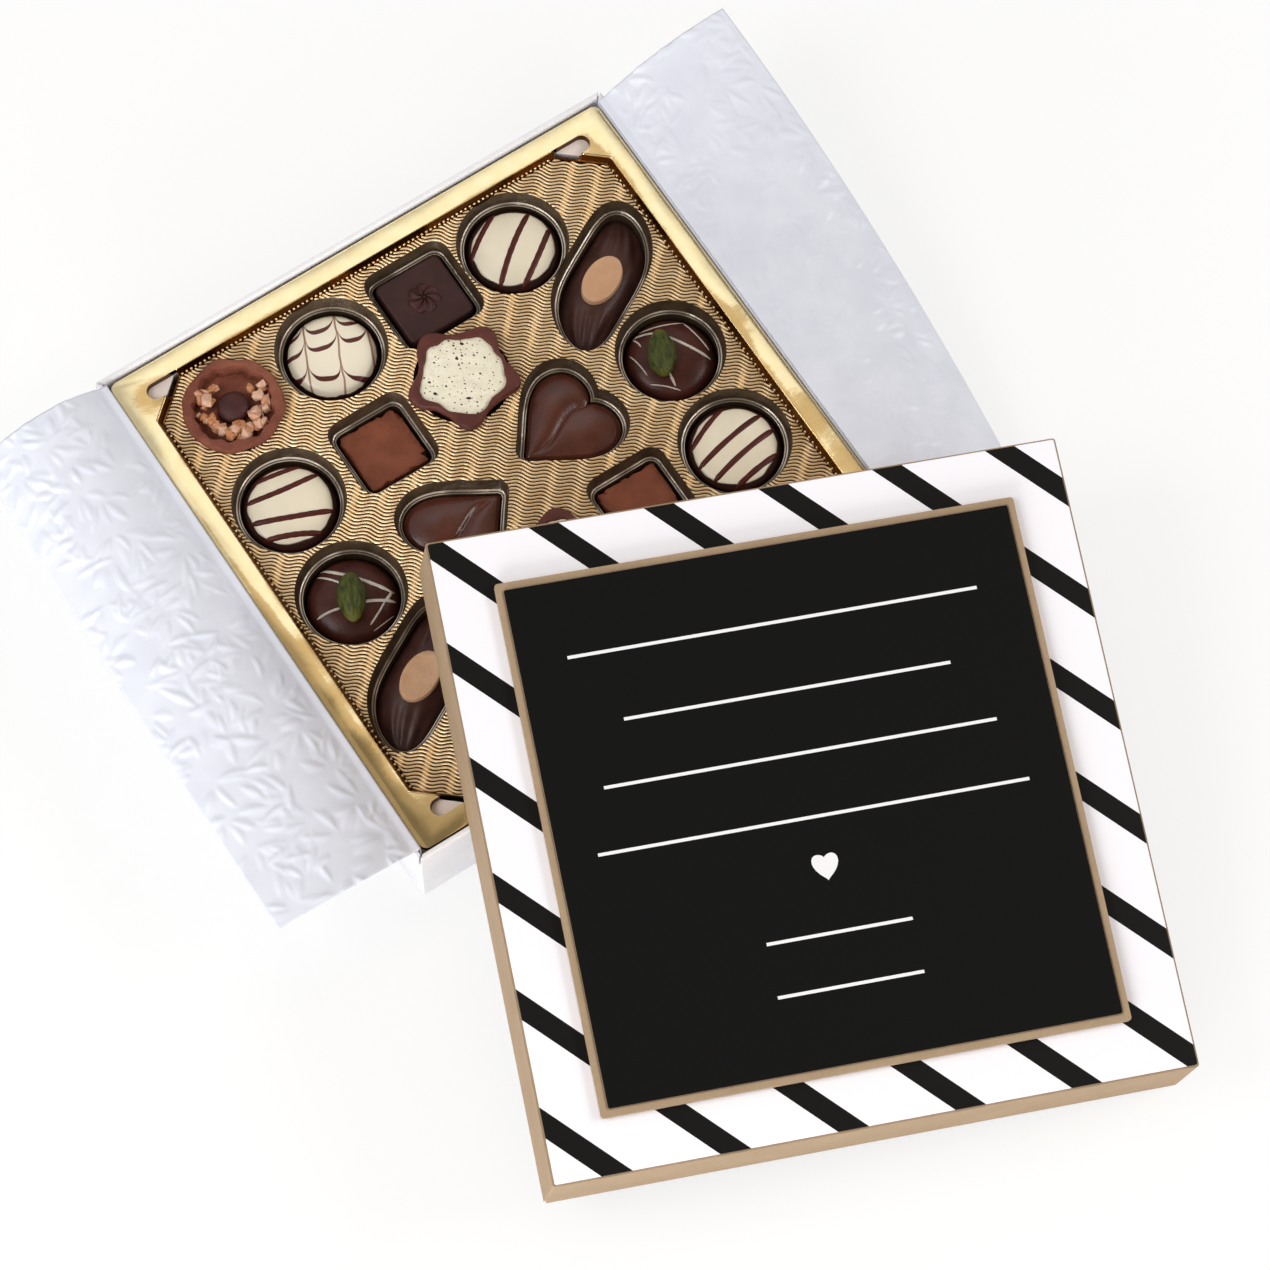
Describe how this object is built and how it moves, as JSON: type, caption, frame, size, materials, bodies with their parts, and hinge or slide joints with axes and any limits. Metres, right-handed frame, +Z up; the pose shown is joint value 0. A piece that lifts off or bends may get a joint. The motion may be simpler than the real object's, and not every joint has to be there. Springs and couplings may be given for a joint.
{
  "type": "box of chocolates",
  "caption": "Open gift box of chocolates: carton base, gold formed insert with filled pockets, padding paper with folding flaps, and a striped lift-off lid with a raised plaque.",
  "frame": {"origin": "middle of the base carton's underside, on the table", "axes": "+Z up, +X towards the side with the right paper flap, +Y towards the back, away from the leaning lid"},
  "size_m": [0.1975, 0.259, 0.0525],
  "materials": {
    "white_board": "white folding carton",
    "kraft_board": "matt kraft-brown carton",
    "striped_print": "white printed sheet with black slanted stripes",
    "black_print": "matt black printed card",
    "embossed_paper": "pearl white embossed padding paper",
    "gold_foil": "metallised gold formed sheet, smooth rim and wave-embossed panel",
    "dark_chocolate": "satin dark chocolate",
    "milk_chocolate": "satin milk chocolate",
    "brown_chocolate": "glossy moulded chocolate",
    "white_chocolate": "satin white chocolate with dark decoration",
    "tan_chocolate": "matt tan chocolate",
    "nut": "roasted chopped nut",
    "pistachio": "pistachio kernel"
  },
  "bodies": {
    "box": {"base_carton": "white_board", "liner_sheet": "embossed_paper", "gold_insert": "gold_foil", "liner_flap_right_end": "embossed_paper"},
    "lid": {"lid_carton": "kraft_board", "lid_stripe_sheet": "striped_print", "plaque_card": "kraft_board", "plaque_face": "black_print"},
    "left_flap": {"liner_flap_left": "embossed_paper"},
    "right_flap": {"liner_flap_right": "embossed_paper"},
    "nut_1": {"nut_cup_1": "milk_chocolate", "nut_crumbs_1": "nut", "nut_drop_1": "dark_chocolate"},
    "nut_2": {"nut_cup_2": "milk_chocolate", "nut_crumbs_2": "nut", "nut_drop_2": "dark_chocolate"},
    "feathered_1": {"feathered_1": "white_chocolate"},
    "feathered_2": {"feathered_2": "white_chocolate"},
    "dark_square_1": {"dark_square_1": "dark_chocolate"},
    "dark_square_2": {"dark_square_2": "dark_chocolate"},
    "striped_1": {"striped_1": "white_chocolate"},
    "striped_2": {"striped_2": "white_chocolate"},
    "striped_3": {"striped_3": "white_chocolate"},
    "striped_4": {"striped_4": "white_chocolate"},
    "boat_1": {"boat_1": "dark_chocolate", "boat_medallion_1": "tan_chocolate"},
    "boat_2": {"boat_2": "dark_chocolate", "boat_medallion_2": "tan_chocolate"},
    "pistachio_1": {"pistachio_dome_1": "dark_chocolate", "pistachio_kernel_1": "pistachio"},
    "pistachio_2": {"pistachio_dome_2": "dark_chocolate", "pistachio_kernel_2": "pistachio"},
    "milk_square_1": {"milk_square_1": "milk_chocolate"},
    "milk_square_2": {"milk_square_2": "milk_chocolate"},
    "star_1": {"star_cup_1": "milk_chocolate", "star_filling_1": "white_chocolate"},
    "star_2": {"star_cup_2": "milk_chocolate", "star_filling_2": "white_chocolate"},
    "heart_1": {"heart_1": "brown_chocolate"},
    "heart_2": {"heart_2": "brown_chocolate"}
  },
  "joints": [
    {"name": "lid_lift", "type": "slide", "parent": "box", "child": "lid", "axis": [0, 0, 1], "range_m": [0, 0.15]},
    {"name": "left_flap_fold", "type": "hinge", "parent": "box", "child": "left_flap", "pos_m": [-0.064, 0, 0.0215], "axis": [0, -1, 0], "range_deg": [-80, 0]},
    {"name": "right_flap_fold", "type": "hinge", "parent": "box", "child": "right_flap", "pos_m": [0.064, 0, 0.0215], "axis": [0, 1, 0], "range_deg": [-40, 0]},
    {"name": "nut_1_lift", "type": "slide", "parent": "box", "child": "nut_1", "axis": [0, 0, 1], "range_m": [0, 0.03]},
    {"name": "nut_2_lift", "type": "slide", "parent": "box", "child": "nut_2", "axis": [0, 0, 1], "range_m": [0, 0.002]},
    {"name": "feathered_1_lift", "type": "slide", "parent": "box", "child": "feathered_1", "axis": [0, 0, 1], "range_m": [0, 0.03]},
    {"name": "feathered_2_lift", "type": "slide", "parent": "box", "child": "feathered_2", "axis": [0, 0, 1], "range_m": [0, 0.015]},
    {"name": "dark_square_1_lift", "type": "slide", "parent": "box", "child": "dark_square_1", "axis": [0, 0, 1], "range_m": [0, 0.03]},
    {"name": "dark_square_2_lift", "type": "slide", "parent": "box", "child": "dark_square_2", "axis": [0, 0, 1], "range_m": [0, 0.025]},
    {"name": "striped_1_lift", "type": "slide", "parent": "box", "child": "striped_1", "axis": [0, 0, 1], "range_m": [0, 0.03]},
    {"name": "striped_2_lift", "type": "slide", "parent": "box", "child": "striped_2", "axis": [0, 0, 1], "range_m": [0, 0.03]},
    {"name": "striped_3_lift", "type": "slide", "parent": "box", "child": "striped_3", "axis": [0, 0, 1], "range_m": [0, 0.025]},
    {"name": "striped_4_lift", "type": "slide", "parent": "box", "child": "striped_4", "axis": [0, 0, 1], "range_m": [0, 0.03]},
    {"name": "boat_1_lift", "type": "slide", "parent": "box", "child": "boat_1", "axis": [0, 0, 1], "range_m": [0, 0.03]},
    {"name": "boat_2_lift", "type": "slide", "parent": "box", "child": "boat_2", "axis": [0, 0, 1], "range_m": [0, 0.01]},
    {"name": "pistachio_1_lift", "type": "slide", "parent": "box", "child": "pistachio_1", "axis": [0, 0, 1], "range_m": [0, 0.03]},
    {"name": "pistachio_2_lift", "type": "slide", "parent": "box", "child": "pistachio_2", "axis": [0, 0, 1], "range_m": [0, 0.03]},
    {"name": "milk_square_1_lift", "type": "slide", "parent": "box", "child": "milk_square_1", "axis": [0, 0, 1], "range_m": [0, 0.03]},
    {"name": "milk_square_2_lift", "type": "slide", "parent": "box", "child": "milk_square_2", "axis": [0, 0, 1], "range_m": [0, 0.03]},
    {"name": "star_1_lift", "type": "slide", "parent": "box", "child": "star_1", "axis": [0, 0, 1], "range_m": [0, 0.03]},
    {"name": "star_2_lift", "type": "slide", "parent": "box", "child": "star_2", "axis": [0, 0, 1], "range_m": [0, 0.006]},
    {"name": "heart_1_lift", "type": "slide", "parent": "box", "child": "heart_1", "axis": [0, 0, 1], "range_m": [0, 0.03]},
    {"name": "heart_2_lift", "type": "slide", "parent": "box", "child": "heart_2", "axis": [0, 0, 1], "range_m": [0, 0.03]}
  ]
}
